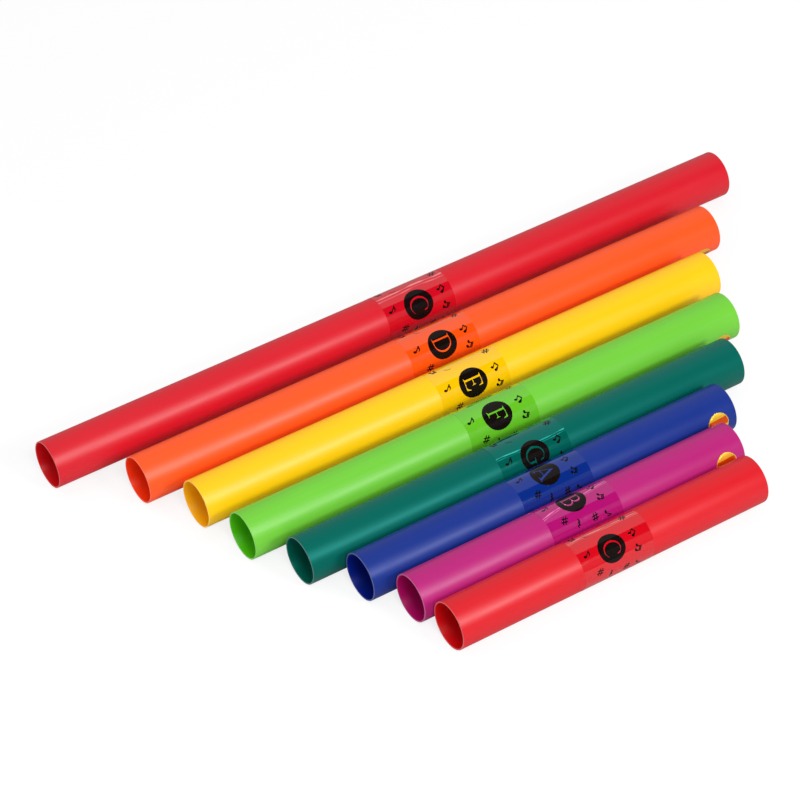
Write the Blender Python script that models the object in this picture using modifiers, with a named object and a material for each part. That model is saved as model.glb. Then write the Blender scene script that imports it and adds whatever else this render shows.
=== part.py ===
"""Eight tuned percussion tubes, one diatonic octave, lying side by side on a table.

Each tube is an open plastic pipe with a clear printed film label wrapped round its middle. Four of them
also carry a round foil sticker near the right end. Every tube is a loose instrument of its own: nothing
joins it to its neighbours. +X runs along the tubes to the right, +Y away from the viewer towards the
longest tube, and +Z up. The origin is on the table, at the centre of the row.
"""

from math import cos, pi, radians
from typing import NamedTuple, Optional

import bmesh
import bpy
from mathutils import Matrix, Vector

# Driving dimensions, in metres. All tubes share one diameter and one wall, so that one cap fits them all.
TUBE_RADIUS = 0.0200
TUBE_WALL = 0.0012

LABEL_LENGTH = 0.065
LABEL_FILM = 0.00015
LABEL_GAP = 0.0002
LABEL_OPEN_STRIP = 0.018

STICKER_DIAMETER = 0.020
STICKER_FOIL = 0.00015
STICKER_GAP = 0.0002
STICKER_TO_END = 0.018

# Left between the films of two tubes that lie against each other.
TOUCH_CLEARANCE = 0.0003

# Facets round a tube. It is a multiple of four, and one facet faces down, so that the tube rests on it.
FACETS = 48
STICKER_FACETS = 32
SHARP_ANGLE = radians(30)


class Tube(NamedTuple):
    """One tube: sizes in metres, angles in degrees from straight up towards the viewer."""

    note: str
    length: float
    middle_x: float
    strip_to_next: float
    label_shift: float
    colour: tuple
    sticker_angle: Optional[float]


# From the back of the row to the front. strip_to_next is the free strip beyond the touching distance.
TUBES = (
    Tube("low_c", 0.661, 0.0000, 0.0153, 0.0130, (222, 32, 46), None),
    Tube("d", 0.558, -0.0013, 0.0092, 0.0005, (255, 90, 35), 125),
    Tube("e", 0.497, -0.0084, 0.0106, 0.0030, (255, 202, 25), None),
    Tube("f", 0.466, -0.0128, 0.0077, 0.0000, (122, 206, 66), 118),
    Tube("g", 0.412, -0.0182, 0.0003, 0.0030, (0, 102, 92), None),
    Tube("a", 0.344, -0.0239, 0.0000, 0.0005, (36, 62, 152), 78),
    Tube("b", 0.302, -0.0260, 0.0000, 0.0010, (203, 45, 132), 78),
    Tube("high_c", 0.286, -0.0268, 0.0000, 0.0005, (228, 32, 45), None),
)

FILM_COLOUR = (235, 235, 235)
FOIL_COLOUR = (240, 176, 60)


def linear(colour):
    """Scene-linear RGBA of an 8-bit sRGB colour."""
    channels = [channel / 255 for channel in colour]
    bent = [c / 12.92 if c <= 0.04045 else ((c + 0.055) / 1.055) ** 2.4 for c in channels]
    return (*bent, 1.0)


def clear_scene():
    for obj in list(bpy.data.objects):
        bpy.data.objects.remove(obj, do_unlink=True)


def new_collection(name):
    collection = bpy.data.collections.new(name)
    bpy.context.scene.collection.children.link(collection)
    return collection


def new_material(name, colour, roughness, metallic=0.0, alpha=1.0):
    material = bpy.data.materials.new(name)
    material.use_nodes = True
    material.diffuse_color = (*linear(colour)[:3], alpha)
    shader = material.node_tree.nodes["Principled BSDF"]
    shader.inputs["Base Color"].default_value = linear(colour)
    shader.inputs["Roughness"].default_value = roughness
    shader.inputs["Metallic"].default_value = metallic
    shader.inputs["Alpha"].default_value = alpha
    return material


def new_object(name, bm, collection, material=None):
    """Object made of this bmesh, with round faces smooth and edges sharp."""
    mesh = bpy.data.meshes.new(name)
    bm.to_mesh(mesh)
    bm.free()
    mesh.shade_smooth()
    mesh.set_sharp_from_angle(angle=SHARP_ANGLE)
    if material:
        mesh.materials.append(material)
    obj = bpy.data.objects.new(name, mesh)
    collection.objects.link(obj)
    return obj


def round_sheet(radius, length):
    """Open cylinder surface along X, with a facet facing straight down."""
    bm = bmesh.new()
    lay_down = Matrix.Rotation(pi / 2, 4, "Y") @ Matrix.Rotation(pi / FACETS, 4, "Z")
    bmesh.ops.create_cone(
        bm, cap_ends=False, segments=FACETS, radius1=radius, radius2=radius, depth=length, matrix=lay_down
    )
    return bm


def thicken(obj, thickness, side):
    """Gives a sheet its thickness: side is 1 for outwards and -1 for inwards."""
    solidify = obj.modifiers.new("thickness", "SOLIDIFY")
    solidify.thickness = thickness
    solidify.offset = side


def open_underside(bm, strip):
    """Takes away the facets whose middles lie within a strip of this width at the underside."""
    half_angle = strip / 2 / TUBE_RADIUS
    down = Vector((0, 0, -1))
    below = [facet for facet in bm.faces if facet.normal.angle(down) < half_angle]
    bmesh.ops.delete(bm, geom=below, context="FACES")


def add_tube(tube, place, collection):
    material = new_material(f"{tube.note}_plastic", tube.colour, roughness=0.38)
    obj = new_object(f"tube_{tube.note}", round_sheet(TUBE_RADIUS, tube.length), collection, material)
    thicken(obj, TUBE_WALL, side=-1)
    obj.location = place
    return obj


def add_label(tube, parent, collection, material):
    """Film round the tube, open along the underside, where the tube rests."""
    sheet = round_sheet(TUBE_RADIUS + LABEL_GAP, LABEL_LENGTH)
    open_underside(sheet, LABEL_OPEN_STRIP)
    obj = new_object(f"label_{tube.note}", sheet, collection, material)
    thicken(obj, LABEL_FILM, side=1)
    obj.parent = parent
    obj.location.x = tube.label_shift
    return obj


def add_sticker(tube, parent, collection, cutters, material):
    """Round foil patch that follows the tube's wall: a short sleeve cut by a radial cylinder."""
    sleeve = round_sheet(TUBE_RADIUS + STICKER_GAP, STICKER_DIAMETER + 2 * TUBE_WALL)
    obj = new_object(f"sticker_{tube.note}", sleeve, collection, material)
    thicken(obj, STICKER_FOIL, side=1)
    obj.parent = parent
    obj.location.x = tube.length / 2 - STICKER_TO_END

    punch = bmesh.new()
    depth = 2 * TUBE_RADIUS
    bmesh.ops.create_cone(
        punch,
        cap_ends=True,
        segments=STICKER_FACETS,
        radius1=STICKER_DIAMETER / 2,
        radius2=STICKER_DIAMETER / 2,
        depth=depth,
        matrix=Matrix.Translation((0, 0, depth / 2)),
    )
    cutter = new_object(f"punch_{tube.note}", punch, cutters)
    cutter.hide_render = True
    cutter.display_type = "WIRE"
    cutter.parent = obj
    cutter.rotation_euler.x = radians(tube.sticker_angle)

    cut = obj.modifiers.new("punched round", "BOOLEAN")
    cut.operation = "INTERSECT"
    cut.object = cutter
    return obj


def row_places():
    """Middle of each tube, spaced from the back of the row to the front and centred on the origin."""
    touching = 2 * (TUBE_RADIUS + LABEL_GAP + LABEL_FILM) + TOUCH_CLEARANCE
    ahead = [0.0]
    for tube in TUBES[:-1]:
        ahead.append(ahead[-1] + touching + tube.strip_to_next)
    centre_height = TUBE_RADIUS * cos(pi / FACETS)
    return [Vector((tube.middle_x, ahead[-1] / 2 - far, centre_height)) for tube, far in zip(TUBES, ahead)]


def main():
    clear_scene()
    collection = new_collection("tuned_percussion_tubes")
    cutters = new_collection("cutters")
    film = new_material("label_film", FILM_COLOUR, roughness=0.08, alpha=0.25)
    foil = new_material("sticker_foil", FOIL_COLOUR, roughness=0.25, metallic=1.0)
    for tube, place in zip(TUBES, row_places()):
        body = add_tube(tube, place, collection)
        add_label(tube, body, collection, film)
        if tube.sticker_angle is not None:
            add_sticker(tube, body, collection, cutters, foil)


main()
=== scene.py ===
"""Eight tuned percussion tubes on a white studio floor.

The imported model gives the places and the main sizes. Each pipe, its printed label and its foil seal are made
again here with finer shapes, and ride on the bodies that they stand for. Lengths are in metres, and in flat
outlines in millimetres. Round a tube, an angle of 0 is straight up and grows towards the viewer, who is on
the -Y side.
"""

from math import cos, pi, radians, sin
from typing import NamedTuple

import bmesh
import bpy
from mathutils import Matrix, Quaternion, Vector


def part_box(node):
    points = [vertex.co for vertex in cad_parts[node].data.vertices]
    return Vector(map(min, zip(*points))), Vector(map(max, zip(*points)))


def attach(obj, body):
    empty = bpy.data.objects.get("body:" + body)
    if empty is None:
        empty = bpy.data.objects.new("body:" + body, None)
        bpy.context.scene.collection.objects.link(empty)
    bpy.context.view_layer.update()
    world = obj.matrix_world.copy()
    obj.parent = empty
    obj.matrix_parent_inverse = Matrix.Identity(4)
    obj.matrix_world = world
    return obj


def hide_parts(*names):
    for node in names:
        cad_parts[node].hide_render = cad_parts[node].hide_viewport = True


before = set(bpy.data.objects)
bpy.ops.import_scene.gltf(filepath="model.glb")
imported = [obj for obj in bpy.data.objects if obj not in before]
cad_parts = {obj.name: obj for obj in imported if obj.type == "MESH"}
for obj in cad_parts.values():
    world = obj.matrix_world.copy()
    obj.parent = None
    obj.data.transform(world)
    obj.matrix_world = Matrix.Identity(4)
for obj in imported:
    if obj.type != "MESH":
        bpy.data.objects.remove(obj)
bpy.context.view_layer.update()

MM = 0.001

# Pipes, in metres
WALL = 1.2 * MM
RIM_ROUNDING = 0.3 * MM
ROUND_STEPS = 144

# Undersides and tops of the films, their print and the seals, in millimetres above the pipe
FILM_LEVELS = (0.02, 0.11)
INK_LEVELS = (0.10, 0.14)
SEAL_LEVELS = (0.05, 0.17)

# Each film is open to this angle on either side of straight down
OPEN_ANGLE = radians(26.25)

# What lies round a pipe is cut into strips, in millimetres, so that it can bend. The first is only a share of
# one, so that no cut meets a corner of the print
STRIP = 0.6
FIRST_STRIP = 0.437

# Sizes on the labels and of the seals, in millimetres. The margin keeps signs clear of a film's edges
DISC_DIAMETER = 25.5
LETTER_HEIGHT = 15.6
LETTER_WIDENING = 1.06
SIGN_MARGIN = 3.6
SEAL_DIAMETER = 19.8
SEAL_RIM = 9.0

SHARP_ANGLE = radians(30)

# How glossy plastic, film and ink are
PLASTIC_GLOSS = 0.38
FILM_GLOSS = 1.0
INK_GLOSS = 0.2

# Light levels of the studio's screens and lamps
CANOPY_LEVEL = 0.55
FRONT_LEVEL = 0.22
ROOM_LEVEL = 0.85
KEY_POWER = 43
FILL_POWER = 47

# Where each screen fades in or out, in degrees of lean from straight up towards the viewer
CANOPY_EDGE = (4, 1)
FRONT_TOP = (45, 48)
FRONT_FOOT = (95, 70)
FRONT_FOOT_SHARE = 0.6
ROOM_EDGE = (60, 42)

# The side that the films mirror, by how far a direction points to the right
MIRRORED_SIDE = (0.02, 0.16)

KEY_PLACE = Vector((0.74, -2.5, 1.85))
KEY_SIZE = (0.78, 0.5)
FILL_PLACE = Vector((-0.46, -1.88, 2.36))
FILL_SIZE = (1.0, 0.7)

# How pale the floor is to other light, to glossy reflections and to the camera, and its glow's share there
FLOOR_HALF = 30
FLOOR_SHADE = 0.86
FLOOR_SHADE_IN_GLOSS = 0.4
FLOOR_SHADE_SEEN = 0.98
FLOOR_GLOW = 0.8

CAMERA_PLACE = Vector((-1.1537, -1.6800, 1.8157))
CAMERA_TARGET = Vector((-0.0587, 0.0711, 0.0200))
CAMERA_ROLL = radians(-1.85)
CAMERA_LENS = 153.0
CAMERA_SENSOR = 36


class Look(NamedTuple):
    """How one tube is printed and coloured: millimetres along the tube from its middle, and degrees round it.

    The gloss is the colour of its highlights. A lap is a lengthwise crease of the film, raised in the bump
    and with a painted highlight along it: degrees round the tube, how many millimetres it strays towards the
    viewer in each millimetre along the tube, and its relative width. The print's size is relative too.
    """

    note: str
    letter: str
    colour: tuple
    disc_along: float
    disc_angle: float
    seal_angle: float = None
    gloss: tuple = (1.0, 1.0, 1.0, 1.0)
    lap_glint: tuple = None
    print_size: float = 1.0


LOOKS = (
    Look("low_c", "C", (208, 21, 38), 12.2, 48.1, lap_glint=(-6, -0.032, 2.0), print_size=1.04),
    Look("d", "D", (249, 84, 25), 0.4, 42.5, 125),
    Look("e", "E", (255, 194, 6), 2.4, 50.4),
    Look("f", "F", (109, 195, 55), -2.2, 33.0, 118),
    Look("g", "G", (2, 90, 79), 2.7, 50.0, gloss=(0.15, 1.0, 0.95, 1.0), lap_glint=(24, 0.0, 1.0)),
    Look("a", "A", (19, 46, 129), -1.5, 3.0, 78, gloss=(0.6, 0.65, 1.0, 1.0), print_size=0.94),
    Look(
        "b", "B", (172, 28, 111), -1.3, -8.0, 78,
        gloss=(1.0, 0.8, 0.95, 1.0), lap_glint=(-5, -0.13, 1.0), print_size=0.94,
    ),
    Look("high_c", "C", (204, 18, 31), -2.7, 41.6, lap_glint=(-14, 0.01, 1.0), print_size=0.92),
)


# Colours


def linear(colour):
    """Scene-linear RGBA of an 8-bit sRGB colour."""
    channels = [channel / 255 for channel in colour]
    bent = [c / 12.92 if c <= 0.04045 else ((c + 0.055) / 1.055) ** 2.4 for c in channels]
    return (*bent, 1.0)


def grey(level):
    return (level, level, level, 1.0)


def shaded(colour, factor):
    """A linear colour made lighter or darker."""
    return tuple(min(1.0, c * factor) for c in colour[:3]) + (1.0,)


def deep(colour, factor):
    """A linear colour made purer: its weakest channel goes nearly to nothing."""
    weakest = min(colour[:3]) * 0.9
    return tuple(min(1.0, (c - weakest) * factor) for c in colour[:3]) + (1.0,)


def painted_bore_bounce(colour):
    """Painted bounce light: the colour down a bore, made purer as light that goes from wall to wall would make
    it.
    """
    peak = max(colour[:3])
    return tuple(min(1.0, c * (c / peak) ** 0.3 * 1.1) for c in deep(colour, 1)[:3]) + (1.0,)


def towards(colour, other, share):
    return tuple(a + (b - a) * share for a, b in zip(colour, other))


WHITE = grey(1.0)


# Shader maths


class Flow:
    """A value, colour or vector that runs between nodes. Sums and products of values add Math nodes."""

    def __init__(self, recipe, socket):
        self.recipe = recipe
        self.socket = socket

    def math(self, operation, *values):
        return self.recipe.node("Math", {"operation": operation}, dict(enumerate(values)))

    def __add__(self, other):
        return self.math("ADD", self, other)

    def __radd__(self, other):
        return self.math("ADD", other, self)

    def __sub__(self, other):
        return self.math("SUBTRACT", self, other)

    def __rsub__(self, other):
        return self.math("SUBTRACT", other, self)

    def __mul__(self, other):
        return self.math("MULTIPLY", self, other)

    def __rmul__(self, other):
        return self.math("MULTIPLY", other, self)

    def __pow__(self, other):
        return self.math("POWER", self, other)

    def __abs__(self):
        return self.math("ABSOLUTE", self)


class Recipe:
    """The nodes of one material or of the world."""

    def __init__(self, owner):
        owner.use_nodes = True
        self.tree = owner.node_tree
        self.tree.nodes.clear()

    def node(self, kind, settings=None, inputs=None, output=0):
        """Adds a node: its settings first, then the values or flows of its sockets. Returns one output."""
        made = self.tree.nodes.new("ShaderNode" + kind)
        for name, value in (settings or {}).items():
            setattr(made, name, value)
        for name, value in (inputs or {}).items():
            if isinstance(value, Flow):
                self.tree.links.new(value.socket, made.inputs[name])
            else:
                made.inputs[name].default_value = value
        return Flow(self, made.outputs[output]) if made.outputs else None

    def place(self):
        return self.node("TexCoord", output="Object")

    def axes(self, vector):
        """The X, Y and Z of a vector as three values."""
        split = self.node("SeparateXYZ", inputs={"Vector": vector}).socket.node
        return [Flow(self, socket) for socket in split.outputs]

    def noise(self, vector, detail, scale=1, stretch=None):
        """Soft noise from 0 to 1. The stretch multiplies the scale along each axis."""
        if stretch:
            vector = self.node("Mapping", inputs={"Vector": vector, "Scale": stretch})
        inputs = {"Vector": vector, "Scale": scale, "Detail": detail, "Roughness": 0.5}
        return self.node("TexNoise", inputs=inputs)

    def between(self, value, low, high, start=0.0, end=1.0):
        """Eases from start to end as a value goes from low to high."""
        return self.node(
            "MapRange",
            {"interpolation_type": "SMOOTHSTEP"},
            {"Value": value, "From Min": low, "From Max": high, "To Min": start, "To Max": end},
        )

    def mix(self, share, first, second):
        """A mix of two colours, with a share of the second."""
        settings = {"data_type": "RGBA", "clamp_factor": True}
        return self.node("Mix", settings, {0: share, 6: first, 7: second}, output=2)

    def bump(self, height, distance):
        return self.node("Bump", inputs={"Height": height, "Distance": distance, "Strength": 1.0})

    def surface(self, **inputs):
        """The Principled shader on the output, its sockets named with underscores for spaces."""
        named = {name.replace("_", " "): value for name, value in inputs.items()}
        self.finish(self.node("BsdfPrincipled", inputs=named))

    def finish(self, shader):
        self.node("OutputMaterial", inputs={"Surface": shader})


# Materials


def specks(recipe, place, scale, size):
    """Sparse round dots: one in some cells of a jumbled grid."""
    inputs = {"Vector": place, "Scale": scale, "Randomness": 1.0}
    cells = recipe.node("TexVoronoi", {"feature": "F1"}, inputs, output="Distance")
    return recipe.between(cells, size * scale, size * scale * 0.5)


def tube_plastic(look, low, high):
    """Satin extruded plastic: faint clouds, draw lines along the tube, grain, dust, a pale cut rim, painted
    bounce light in the bore.
    """
    material = bpy.data.materials.new(f"{look.note}_satin_plastic")
    recipe = Recipe(material)
    place = recipe.place()
    centre = (low + high) / 2
    radius = (high.z - low.z) / 2
    x, y, z = recipe.axes(place)
    base = linear(look.colour)

    clouds = recipe.noise(place, detail=2, scale=14)
    tint = recipe.mix(clouds, shaded(base, 0.965), shaded(base, 1.035))
    lines = recipe.noise(place, detail=3, stretch=(5, 420, 420))
    tint = recipe.mix(recipe.between(lines, 0.35, 0.75) * 0.35, tint, shaded(base, 0.93))
    dust = specks(recipe, place, scale=55, size=0.22 * MM)
    tint = recipe.mix(dust * 0.35, tint, towards(base, WHITE, 0.6))

    from_axis = ((y - centre.y) ** 2 + (z - centre.z) ** 2) ** 0.5
    inside = recipe.between(from_axis, radius - 0.5 * MM, radius - 1.0 * MM)
    # Painted bounce light down the bore: the inner wall takes a purer colour than the outside
    tint = recipe.mix(inside, tint, painted_bore_bounce(base))
    from_end = (high.x - low.x) / 2 - abs(x - centre.x)
    rim = recipe.between(from_end, 0.35 * MM, 0.05 * MM)
    tint = recipe.mix(rim * 0.5, tint, towards(base, WHITE, 0.2))

    scuffs = recipe.noise(place, detail=3, scale=260, stretch=(0.25, 1, 1))
    grain = recipe.noise(place, detail=2, scale=2600)
    height = grain * 0.5 + lines * 0.5 + dust * 1.5
    recipe.surface(
        Base_Color=tint,
        Roughness=0.37 + 0.05 * clouds + 0.04 * recipe.between(scuffs, 0.45, 0.8) + 0.15 * rim,
        Specular_IOR_Level=PLASTIC_GLOSS,
        Specular_Tint=look.gloss,
        Normal=recipe.bump(height, 0.012 * MM),
    )
    return material


def film_wear(recipe, place):
    """What a film and its print share: smudges, the height of its soft waves, and its roughness."""
    smudge = recipe.noise(place, detail=3, scale=60)
    waves = recipe.noise(place, detail=1, stretch=(16, 90, 90))
    return smudge, waves * 4, 0.05 + 0.05 * recipe.between(smudge, 0.4, 0.75)


def label_film(look, low, high):
    """Opaque stand-in for clear film, in the tube's own colour: smudges, waves, bubbles with painted glints,
    and a lap with a painted highlight.
    """
    material = bpy.data.materials.new(f"{look.note}_gloss_film")
    recipe = Recipe(material)
    place = recipe.place()
    smudge, height, roughness = film_wear(recipe, place)
    colour = linear(look.colour)
    base = towards(colour, deep(colour, 0.9), 0.6)
    tint = recipe.mix(smudge, shaded(base, 0.97), shaded(base, 1.02))
    bubbles_and_glints = specks(recipe, place, scale=150, size=0.2 * MM)
    # Each bubble is raised in the bump and painted pale as a glint
    tint = recipe.mix(bubbles_and_glints * 0.45, tint, towards(base, WHITE, 0.55))
    height = height + bubbles_and_glints
    if look.lap_glint:
        lap_glint = lap_crease_and_glint(recipe, look, place, (low + high) / 2, (high.z - low.z) / 2)
        # Painted highlight along the lap: the film's colour three times as bright, turned towards the gloss
        # colour
        tint = recipe.mix(lap_glint * 0.9, tint, towards(shaded(base, 3), look.gloss, 0.28))
        height = height + lap_glint * 2
    recipe.surface(
        Base_Color=tint,
        Roughness=roughness,
        Specular_IOR_Level=FILM_GLOSS,
        Specular_Tint=look.gloss,
        Normal=recipe.bump(height, 0.02 * MM),
    )
    return material


def lap_crease_and_glint(recipe, look, place, centre, radius):
    """Mask of two fine lines side by side along the film, uneven in width, where it is lifted. It raises the
    crease in the bump and paints its pale highlight.
    """
    angle, stray, width = look.lap_glint
    x, y, z = recipe.axes(place)
    across = recipe.node("Math", {"operation": "ARCTAN2"}, {0: centre.y - y, 1: z - centre.z}) * radius
    wander = (recipe.noise(place, detail=0, stretch=(38, 0, 0)) - 0.5) * 5 * MM
    offset = across - (radians(angle) * radius + (x - centre.x) * stray + wander)
    uneven = recipe.between(recipe.noise(place, detail=0, stretch=(75, 0, 0)), 0.35, 0.6)
    first = recipe.between(abs(offset), (0.3 * MM + 0.5 * MM * uneven) * width, 0.15 * MM)
    second = recipe.between(abs(offset - 1.7 * MM * width), 0.45 * MM * width, 0.15 * MM)
    return first * (0.5 + 0.5 * uneven) + second * 0.6 * (1 - 0.7 * uneven)


def print_ink():
    """Black screen ink with the film's soft waves, a little brown where it is thin."""
    material = bpy.data.materials.new("black_label_ink")
    recipe = Recipe(material)
    place = recipe.place()
    _, height, roughness = film_wear(recipe, place)
    cover = recipe.noise(place, detail=2, scale=900)
    thin = recipe.between(cover, 0.5, 0.8) * 0.6
    recipe.surface(
        Base_Color=recipe.mix(thin, linear((17, 11, 10)), linear((36, 26, 24))),
        Roughness=roughness,
        Specular_IOR_Level=INK_GLOSS,
        Normal=recipe.bump(height, 0.02 * MM),
    )
    return material


def gold_foil(note, centre, turn):
    """Gold foil with one slanting orange band, a paler pressed rim and fine rolling lines."""
    material = bpy.data.materials.new(f"{note}_gold_foil")
    recipe = Recipe(material)
    place = recipe.place()
    from_centre = recipe.node("VectorMath", {"operation": "SUBTRACT"}, {0: place, 1: centre})
    slant = Vector((0.05, -cos(turn), -sin(turn))).normalized()
    inputs = {0: from_centre, 1: slant}
    height = recipe.node("VectorMath", {"operation": "DOT_PRODUCT"}, inputs, output="Value")
    band = recipe.between(height, -5.2 * MM, -4.4 * MM) * recipe.between(height, 2.6 * MM, 1.0 * MM)
    lines = recipe.noise(place, detail=2, stretch=(120, 1500, 1500))
    gold = recipe.mix(lines, linear((242, 188, 44)), linear((250, 206, 66)))
    tint = recipe.mix(band, gold, linear((226, 80, 2)))

    reach = recipe.node("VectorMath", {"operation": "DISTANCE"}, {0: place, 1: centre}, output="Value")
    rim = recipe.between(reach, SEAL_RIM * MM, (SEAL_RIM + 0.4) * MM)
    tint = recipe.mix(rim * 0.7, tint, linear((250, 212, 92)))
    groove = recipe.between(abs(reach - SEAL_RIM * MM), 0.25 * MM, 0.0)
    recipe.surface(
        Base_Color=tint,
        Metallic=0.55,
        Roughness=0.26 + 0.08 * lines,
        Normal=recipe.bump(lines - groove * 4, 0.01 * MM),
    )
    return material


# Shapes


def link(name, bm, material):
    """Object of this bmesh at the origin, smooth with sharp edges and with its faces turned outwards."""
    bmesh.ops.recalc_face_normals(bm, faces=bm.faces)
    mesh = bpy.data.meshes.new(name)
    bm.to_mesh(mesh)
    bm.free()
    mesh.shade_smooth()
    mesh.set_sharp_from_angle(angle=SHARP_ANGLE)
    mesh.materials.append(material)
    piece = bpy.data.objects.new(name, mesh)
    bpy.context.scene.collection.objects.link(piece)
    return piece


def pipe(name, low, high, material):
    """Open pipe in a node's box: its wall's outline, with rounded rims, turned about the axis."""
    centre = (low + high) / 2
    outer = (high.z - low.z) / 2
    bm = bmesh.new()
    bmesh.ops.create_grid(bm, x_segments=1, y_segments=1, size=0.5)
    bmesh.ops.scale(bm, vec=(high.x - low.x, WALL, 1), verts=bm.verts)
    bmesh.ops.rotate(bm, matrix=Matrix.Rotation(pi / 2, 3, "X"), verts=bm.verts)
    bmesh.ops.bevel(
        bm, geom=bm.verts[:], offset=RIM_ROUNDING, affect="VERTICES", segments=4, profile=0.5, material=-1
    )
    bmesh.ops.delete(bm, geom=bm.faces[:], context="FACES_ONLY")
    bmesh.ops.translate(bm, vec=(centre.x, centre.y, centre.z + outer - WALL / 2), verts=bm.verts)
    bmesh.ops.spin(
        bm,
        geom=bm.verts[:] + bm.edges[:],
        cent=centre,
        axis=(1, 0, 0),
        angle=2 * pi,
        steps=ROUND_STEPS,
        use_merge=True,
    )
    bmesh.ops.remove_doubles(bm, verts=bm.verts, dist=1e-6)
    return link(name, bm, material)


def filled(bm, loops):
    """Flat face inside these closed outlines, given in millimetres. An outline within another is a hole."""
    for loop in loops:
        corners = [bm.verts.new((x, y, 0)) for x, y in loop]
        for start, end in zip(corners, corners[1:] + corners[:1]):
            bm.edges.new((start, end))
    bmesh.ops.triangle_fill(bm, use_beauty=True, use_dissolve=False, edges=bm.edges[:])


def cut_across(bm, width):
    """Cuts a flat shape into strips of this width, all along the tube."""
    heights = [vert.co.y for vert in bm.verts]
    cut, last = min(heights) + FIRST_STRIP * width, max(heights)
    while cut < last:
        everything = bm.verts[:] + bm.edges[:] + bm.faces[:]
        bmesh.ops.bisect_plane(bm, geom=everything, plane_co=(0, cut, 0), plane_no=(0, 1, 0))
        cut += width
    bmesh.ops.remove_doubles(bm, verts=bm.verts, dist=1e-4)


def wrapped(name, flats, box, levels, material):
    """Flat shapes, in millimetres along and round the pipe, made thick and laid on the pipe in a box."""
    low, high = box
    below, above = levels
    centre = (low + high) / 2
    radius = (high.z - low.z) / 2 / MM
    bm = bmesh.new()
    for loops in flats:
        part = bmesh.new()
        filled(part, loops)
        cut_across(part, STRIP)
        raised = bmesh.ops.extrude_face_region(part, geom=part.faces[:])["geom"]
        raised = [item for item in raised if isinstance(item, bmesh.types.BMVert)]
        bmesh.ops.translate(part, vec=(0, 0, above - below), verts=raised)
        for vert in part.verts:
            along, round_it, height = vert.co
            turn = round_it / radius
            reach = (radius + below + height) * MM
            vert.co = (centre.x + along * MM, centre.y - reach * sin(turn), centre.z + reach * cos(turn))
        mesh = bpy.data.meshes.new("part")
        part.to_mesh(mesh)
        part.free()
        bm.from_mesh(mesh)
        bpy.data.meshes.remove(mesh)
    return link(name, bm, material)


# Outlines


def arc(x, y, wide, tall, start, end, steps=16):
    """Points of an ellipse's arc, between two angles in degrees."""
    turns = [radians(start + (end - start) * step / steps) for step in range(steps + 1)]
    return [(x + wide * cos(turn), y + tall * sin(turn)) for turn in turns]


# The thick stem of a capital runs from STEM_LEFT to STEM_RIGHT, and a thin stroke is THIN wide
STEM_LEFT, STEM_RIGHT, THIN = 10.0, 19.0, 3.8
STEM_FOOT = [(STEM_LEFT, 8), (6, 3.5), (1, 3)]
STEM_HEAD = [(1, 100), (1, 97), (6, 96.5), (STEM_LEFT, 92)]
ARMS = [(STEM_RIGHT, 100 - THIN), (44, 100 - THIN), (53, 91), (57, 77), (60.5, 77), (59.5, 100)]
BEAK = [(76.5, 71), (80, 71)]


def middle_arm(y):
    foot = [(STEM_RIGHT, y), (39, y), (43, y - 3), (44.5, y - 9), (47, y - 9), (47, y + 13), (44.5, y + 13)]
    return foot + [(43, y + 8), (39, y + THIN), (STEM_RIGHT, y + THIN)]


# Capitals with slab feet and thick and thin strokes, on a square of 100
LETTERS = {
    "A": [
        [(0, 0), (25, 0), (25, 3), (17, 4), (13.4, 9), (20.9, 30), (59.5, 30), (67.4, 9)]
        + [(65, 4), (57, 3), (57, 0), (90, 0), (90, 3), (83, 4), (79, 10)]
        + [(45.5, 101), (42.5, 101), (9.5, 12), (5.5, 5), (0, 3)],
        [(22.6, 34.5), (57.8, 34.5), (40.0, 84)],
    ],
    "B": [
        [(1, 0), (38, 0)]
        + arc(38, 27.5, 30, 27.5, -85, 62)
        + arc(36, 76.5, 25, 23.5, -62, 90)
        + STEM_HEAD
        + STEM_FOOT,
        [(STEM_RIGHT, 55.5), (34, 55.5)] + arc(34, 75.5, 17.5, 20, -85, 90) + [(STEM_RIGHT, 95.5)],
        [(STEM_RIGHT, 4.5), (36, 4.5)] + arc(36, 27.7, 22, 23.2, -85, 90) + [(STEM_RIGHT, 50.9)],
    ],
    "C": [
        arc(46, 50, 44, 51.5, 42, 318, 40) + arc(50.5, 50, 38, 47.5, 318, 60, 40) + BEAK,
    ],
    "D": [
        [(1, 0), (34, 0)] + arc(34, 50, 48, 50, -85, 85, 28) + [(34, 100)] + STEM_HEAD + STEM_FOOT,
        [(STEM_RIGHT, 4.0), (33, 4.0)] + arc(33, 50, 39.5, 46.0, -85, 85, 28) + [(33, 96), (STEM_RIGHT, 96)],
    ],
    "E": [
        [(1, 0), (62, 0), (67.5, 25), (64, 25), (57, 10), (48, THIN), (STEM_RIGHT, THIN)]
        + middle_arm(48)
        + ARMS
        + STEM_HEAD
        + STEM_FOOT,
    ],
    "F": [
        [(1, 0), (32, 0), (32, 3), (24, 3.5), (STEM_RIGHT, 8)]
        + middle_arm(46)
        + ARMS
        + STEM_HEAD
        + STEM_FOOT,
    ],
    "G": [
        arc(46, 50, 44, 51.5, 42, 302, 40)
        + [(80, 14), (80, 37), (83, 42), (90, 43), (90, 46)]
        + [(56, 46), (56, 43), (65, 41.5), (69, 37), (69, 14)]
        + arc(50.5, 50, 38, 47.5, 302, 60, 40)
        + BEAK,
    ],
}


def note_head(x, y, start, end, steps=12):
    """Part of a slanting oval note head about a point, between two angles in degrees."""
    tilt = radians(24)
    points = arc(0, 0, 1.6, 1.15, start, end, steps)
    return [(x + a * cos(tilt) - b * sin(tilt), y + a * sin(tilt) + b * cos(tilt)) for a, b in points]


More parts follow.
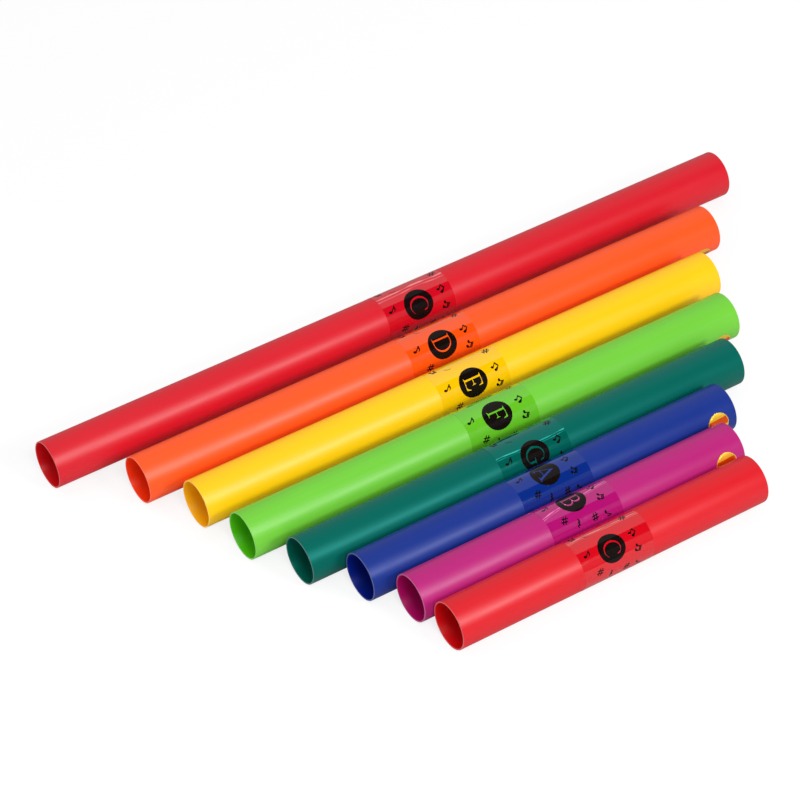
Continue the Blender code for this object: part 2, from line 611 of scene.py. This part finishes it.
def beamed(reach, top, under, slit):
    """Two joined notes, reach apart, with their beam from one height to the other. Two beams leave a slit."""
    slope = -0.3
    stem = 0.8
    left = 0.75
    right = left + reach

    def beam(x, y):
        return (x, y + slope * (x - left))

    drop = slope * reach
    outline = note_head(0, 0, 50, 330) + [beam(left + stem, under), beam(right, under)]
    outline += note_head(reach, drop, 110, 330) + [beam(right + stem, top), beam(left, top)]
    hole = [beam(left + stem, y) for y in slit] + [beam(right, y) for y in reversed(slit)]
    return [outline, hole] if slit else [outline]


def sharp():
    """A sharp sign: two upright strokes, and two slanting bars across them."""

    def bar(x, y):
        return (x, y + 0.26 * x)

    near, far, tip, inner, outer = 0.7, 1.6, 3.1, 0.7, 1.95
    half = [(-far, 3.6), (-near, 3.6), bar(-near, outer), bar(near, outer), (near, 4.0), (far, 4.0)]
    half += [bar(far, outer), bar(tip, outer), bar(tip, inner), bar(far, inner)]
    half += [bar(far, -inner), bar(tip, -inner), bar(tip, -outer), bar(far, -outer)]
    hole = [bar(-near, inner), bar(near, inner), bar(near, -inner), bar(-near, -inner)]
    return [half + [(-x, -y) for x, y in half], hole]


# Signs in millimetres, upright and about 8 mm tall, apart from the tie
SIGNS = {
    "eighth": [
        note_head(-1.0, -2.4, 50, 330)
        + [(0.55, 2.1), (1.5, 1.3), (1.95, 0.3), (1.7, -1.2), (2.5, 0.0), (2.65, 1.4)]
        + [(2.0, 2.7), (1.1, 3.4), (0.6, 4.4), (-0.25, 4.4)]
    ],
    "pair": beamed(4.0, 5.6, 4.1, ()),
    "quick_pair": beamed(4.2, 5.2, 2.6, (3.9, 4.1)),
    "sharp": sharp(),
    "rest": [
        [(-1.3, 3.9), (-0.2, 4.1), (1.2, 2.2), (0.9, 0.5), (1.7, -1.5), (1.4, -2.2), (0.3, -2.0)]
        + [(0.0, -2.6), (0.8, -3.9), (0.2, -4.1), (-1.1, -2.8), (-1.0, -1.5), (-0.2, -1.0)]
        + [(-0.9, 0.3), (-1.1, 1.0), (-0.2, 2.2), (-1.2, 3.3)]
    ],
    "tie": [arc(0, 0, 3.4, 1.6, 200, 340, 10) + arc(0, -0.05, 3.2, 1.0, 338, 202, 10)],
}

# The print of a label about its disc: sign, millimetres along and round the tube, degrees turned, and size
MARKS = (
    ("eighth", -23.0, -3.9, 43, 0.95),
    ("pair", 22.8, -4.7, 38, 0.88),
    ("quick_pair", 23.2, 9.1, 102, 0.92),
    ("sharp", -16.3, 15.2, 26, 0.95),
    ("rest", -5.4, 22.3, 18, 0.95),
    ("sharp", 10.5, 23.1, 8, 0.95),
    ("eighth", 22.5, 25.0, 120, 0.9),
    ("quick_pair", -23.5, -25.5, 160, 0.88),
    ("tie", -13.3, -20.0, 20, 1.0),
    ("sharp", 25.2, -22.5, 30, 0.95),
    ("eighth", -7.0, -34.0, 60, 0.9),
    ("pair", 8.0, -35.0, 20, 0.85),
    ("pair", -14.0, 37.0, 15, 0.85),
    ("eighth", 4.0, 40.0, 70, 0.9),
    ("sharp", 22.0, 42.0, 12, 0.9),
    ("rest", -24.0, -45.0, 30, 0.9),
    ("sharp", -2.0, -50.0, 18, 0.9),
    ("eighth", 20.0, -47.0, 35, 0.9),
    ("pair", -18.0, -60.0, 25, 0.85),
    ("rest", 8.0, -63.0, 10, 0.9),
)


def turned(loops, along, round_it, angle, size):
    """A sign turned from straight up towards the tube's right, and put at its place on the label."""
    turn = radians(angle)
    corners = [point for loop in loops for point in loop]
    middle_x = (min(x for x, _ in corners) + max(x for x, _ in corners)) / 2
    middle_y = (min(y for _, y in corners) + max(y for _, y in corners)) / 2

    def put(x, y):
        x, y = (x - middle_x) * size, (y - middle_y) * size
        return (along + x * cos(turn) + y * sin(turn), round_it - (y * cos(turn) - x * sin(turn)))

    return [[put(x, y) for x, y in loop] for loop in loops]


def capital(letter):
    """A letter's outlines about the disc's centre, its top towards the tube's right end."""
    outlines = LETTERS[letter]
    corners = [point for loop in outlines for point in loop]
    across = (min(x for x, _ in corners) + max(x for x, _ in corners)) / 2
    tall = LETTER_HEIGHT / 100
    wide = tall * LETTER_WIDENING
    return [[((y - 50) * tall, (x - across) * wide) for x, y in loop] for loop in outlines]


def disc_outline(along, round_it, diameter, corners):
    return arc(along, round_it, diameter / 2, diameter / 2, 0, 360 * (1 - 1 / corners), corners - 1)


def label_print(look, middle, box):
    """All the print of one label: the disc with its letter left open, and the signs that fit on the film."""
    low, high = box
    radius = (high.z - low.z) / 2 / MM
    disc_x = look.disc_along + (middle - (low.x + high.x) / 2) / MM
    disc_y = radians(look.disc_angle) * radius
    reach_x = (high.x - low.x) / 2 / MM - SIGN_MARGIN
    reach_y = (pi - OPEN_ANGLE) * radius - SIGN_MARGIN
    size = look.print_size
    disc = [disc_outline(0, 0, DISC_DIAMETER, 120)] + capital(look.letter)
    placed = [[[(x * size + disc_x, y * size + disc_y) for x, y in loop] for loop in disc]]
    for sign, along, round_it, angle, sign_size in MARKS:
        x, y = disc_x + along * size, disc_y + round_it * size
        if abs(x) < reach_x and abs(y) < reach_y:
            placed.append(turned(SIGNS[sign], x, y, angle, sign_size * size))
    return placed


# The eight tubes


def over_pipe(node, low, high):
    """The box of the stretch of a pipe that a node covers, as wide and high as the pipe."""
    start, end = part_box(node)
    return Vector((start.x, low.y, low.z)), Vector((end.x, high.y, high.z))


def add_pipe(look, low, high):
    body_pipe = pipe(f"pipe_{look.note}", low, high, tube_plastic(look, low, high))
    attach(body_pipe, look.note)
    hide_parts(f"tube_{look.note}")


def add_label(look, low, high, ink):
    """Film round the pipe, open along the underside, and its print."""
    box = over_pipe(f"label_{look.note}", low, high)
    half_length = (box[1].x - box[0].x) / 2 / MM
    half_round = (pi - OPEN_ANGLE) * (high.z - low.z) / 2 / MM
    sheet = [(-half_length, -half_round), (half_length, -half_round)]
    sheet += [(half_length, half_round), (-half_length, half_round)]
    film = wrapped(f"film_{look.note}", [[sheet]], box, FILM_LEVELS, label_film(look, *box))
    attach(film, look.note)
    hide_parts(f"label_{look.note}")

    marks = label_print(look, (low.x + high.x) / 2, box)
    printed = wrapped(f"print_{look.note}", marks, box, INK_LEVELS, ink)
    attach(printed, look.note)


def add_seal(look, low, high):
    """Round foil seal near the pipe's right end."""
    box = over_pipe(f"sticker_{look.note}", low, high)
    radius = (high.z - low.z) / 2
    turn = radians(look.seal_angle)
    out = Vector((0, -sin(turn), cos(turn)))
    centre = (box[0] + box[1]) / 2 + out * (radius + SEAL_LEVELS[1] * MM)
    disc = disc_outline(0, turn * radius / MM, SEAL_DIAMETER, 60)
    seal = wrapped(f"seal_{look.note}", [[disc]], box, SEAL_LEVELS, gold_foil(look.note, centre, turn))
    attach(seal, look.note)
    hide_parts(f"sticker_{look.note}")


# Floor, light and camera


def white_floor():
    """White floor with a soft shadow. The camera sees it nearly white, as the backdrop is."""
    bm = bmesh.new()
    bmesh.ops.create_grid(bm, x_segments=1, y_segments=1, size=FLOOR_HALF)
    material = bpy.data.materials.new("white_studio_floor")
    recipe = Recipe(material)
    path = recipe.node("LightPath").socket.node.outputs
    seen = Flow(recipe, path["Is Camera Ray"])
    mirrored = Flow(recipe, path["Is Glossy Ray"])
    shade = recipe.mix(mirrored, grey(FLOOR_SHADE), grey(FLOOR_SHADE_IN_GLOSS))
    matt = recipe.node("BsdfDiffuse", inputs={"Color": shade})
    white = recipe.node("BsdfDiffuse", inputs={"Color": grey(FLOOR_SHADE_SEEN)})
    glow = recipe.node("Emission", inputs={"Color": WHITE, "Strength": 1.0})
    bright = recipe.node("MixShader", inputs={0: FLOOR_GLOW, 1: white, 2: glow})
    recipe.finish(recipe.node("MixShader", inputs={0: seen, 1: matt, 2: bright}))
    link("studio_floor", bm, material)


def studio_world():
    """White to the camera. For the light: an even white room on the camera's side, and on the side that the
    glossy films mirror, a canopy behind and above, a dim gap and a softer front."""
    world = bpy.data.worlds.new("studio")
    bpy.context.scene.world = world
    recipe = Recipe(world)
    x, y, z = recipe.axes(recipe.node("TexCoord", output="Generated"))
    lean = recipe.node("Math", {"operation": "ARCTAN2"}, {0: 0 - y, 1: z}) * (180 / pi)
    canopy = recipe.between(lean, *CANOPY_EDGE) * CANOPY_LEVEL
    front = recipe.between(lean, *FRONT_TOP) * FRONT_LEVEL
    front = front * recipe.between(lean, *FRONT_FOOT, FRONT_FOOT_SHARE, 1.0)
    room = recipe.between(lean, *ROOM_EDGE) * ROOM_LEVEL
    mirrored = recipe.between(x, *MIRRORED_SIDE)
    level = mirrored * (canopy + front) + (1 - mirrored) * room
    seen = Flow(recipe, recipe.node("LightPath").socket.node.outputs["Is Camera Ray"])
    background = recipe.node("Background", inputs={"Color": WHITE, "Strength": seen + (1 - seen) * level})
    recipe.node("OutputWorld", inputs={"Surface": background})


def aimed(place, target):
    """Rotation of a lamp or camera at a place that looks at a target."""
    return (target - place).to_track_quat("-Z", "Y")


def softbox(name, place, size, power):
    """Oblong lamp that looks at the middle of the row."""
    lamp = bpy.data.lights.new(name, "AREA")
    lamp.shape = "RECTANGLE"
    lamp.size, lamp.size_y = size
    lamp.energy = power
    lamp_object = bpy.data.objects.new(name, lamp)
    lamp_object.location = place
    lamp_object.rotation_mode = "QUATERNION"
    lamp_object.rotation_quaternion = aimed(place, Vector((0, 0, 0)))
    bpy.context.scene.collection.objects.link(lamp_object)


def photo_camera():
    camera = bpy.data.cameras.new("camera")
    camera.lens = CAMERA_LENS
    camera.sensor_width = CAMERA_SENSOR
    camera.clip_start = 0.05
    camera.clip_end = 100
    camera_object = bpy.data.objects.new("camera", camera)
    camera_object.location = CAMERA_PLACE
    camera_object.rotation_mode = "QUATERNION"
    roll = Quaternion((0, 0, 1), CAMERA_ROLL)
    camera_object.rotation_quaternion = aimed(CAMERA_PLACE, CAMERA_TARGET) @ roll
    bpy.context.scene.collection.objects.link(camera_object)
    bpy.context.scene.camera = camera_object


black_ink = print_ink()
for look in LOOKS:
    low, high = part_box(f"tube_{look.note}")
    add_pipe(look, low, high)
    add_label(look, low, high, black_ink)
    if look.seal_angle is not None:
        add_seal(look, low, high)

white_floor()
studio_world()
softbox("key_softbox", KEY_PLACE, KEY_SIZE, KEY_POWER)
softbox("fill_softbox", FILL_PLACE, FILL_SIZE, FILL_POWER)
photo_camera()
bpy.context.scene.view_settings.view_transform = "Standard"
